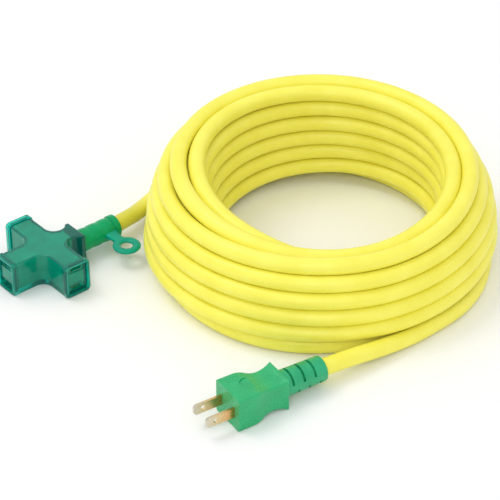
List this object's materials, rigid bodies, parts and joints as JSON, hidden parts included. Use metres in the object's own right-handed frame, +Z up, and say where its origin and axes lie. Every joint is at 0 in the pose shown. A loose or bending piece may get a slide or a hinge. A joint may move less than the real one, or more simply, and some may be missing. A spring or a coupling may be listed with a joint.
{
  "type": "extension cord",
  "caption": "Coiled round extension cord with a translucent multi-outlet tap and hanging ring at one end and a moulded flat-blade plug with a slotted strain relief at the other.",
  "frame": {"origin": "on the floor, under the middle of the tap's cross of arms", "axes": "+Z up; +X the way the cable leaves the tap; the outlet arms point along -X, +Y and -Y"},
  "size_m": [0.2738, 0.2244, 0.071],
  "materials": {
    "translucent_skin": "soft translucent skin, satin",
    "neck_green": "soft opaque moulding, satin",
    "core_plastic": "hard inner moulding",
    "brass": "stamped, plain",
    "wire_black": "wire insulation",
    "wire_white": "wire insulation",
    "cable_yellow": "soft smooth sheath, satin",
    "bridge_plastic": "hard inner moulding",
    "blade_metal": "plated, brassy at the root",
    "plug_green": "soft opaque moulding, satin"
  },
  "bodies": {
    "cord_set": {"bus_bar_lower": "brass", "bus_bar_upper": "brass", "contact_end_lower": "brass", "contact_end_upper": "brass", "contact_left_lower": "brass", "contact_left_upper": "brass", "contact_right_lower": "brass", "contact_right_upper": "brass", "cord_coil": "cable_yellow", "cord_plug_run": "cable_yellow", "cord_tap_run": "cable_yellow", "core_lower": "core_plastic", "core_upper": "core_plastic", "outlet_face_end": "translucent_skin", "outlet_face_left": "translucent_skin", "outlet_face_right": "translucent_skin", "plug_blade_left": "blade_metal", "plug_blade_right": "blade_metal", "plug_body": "plug_green", "plug_bridge": "bridge_plastic", "plug_strain_relief": "plug_green", "plug_wire_left": "wire_black", "plug_wire_right": "wire_white", "tap_crimp_lower": "brass", "tap_crimp_upper": "brass", "tap_jacket": "translucent_skin", "tap_neck": "neck_green", "tap_wire_lower": "wire_white", "tap_wire_upper": "wire_black"},
    "hang_loop": {"hang_loop": "neck_green"}
  },
  "joints": [
    {"name": "hang_loop_flex", "type": "hinge", "parent": "cord_set", "child": "hang_loop", "pos_m": [0.042, -0.009, 0.011], "axis": [-1, 0, 0], "range_deg": [-25, 75], "stiffness_Nm_per_rad": 0.02}
  ]
}
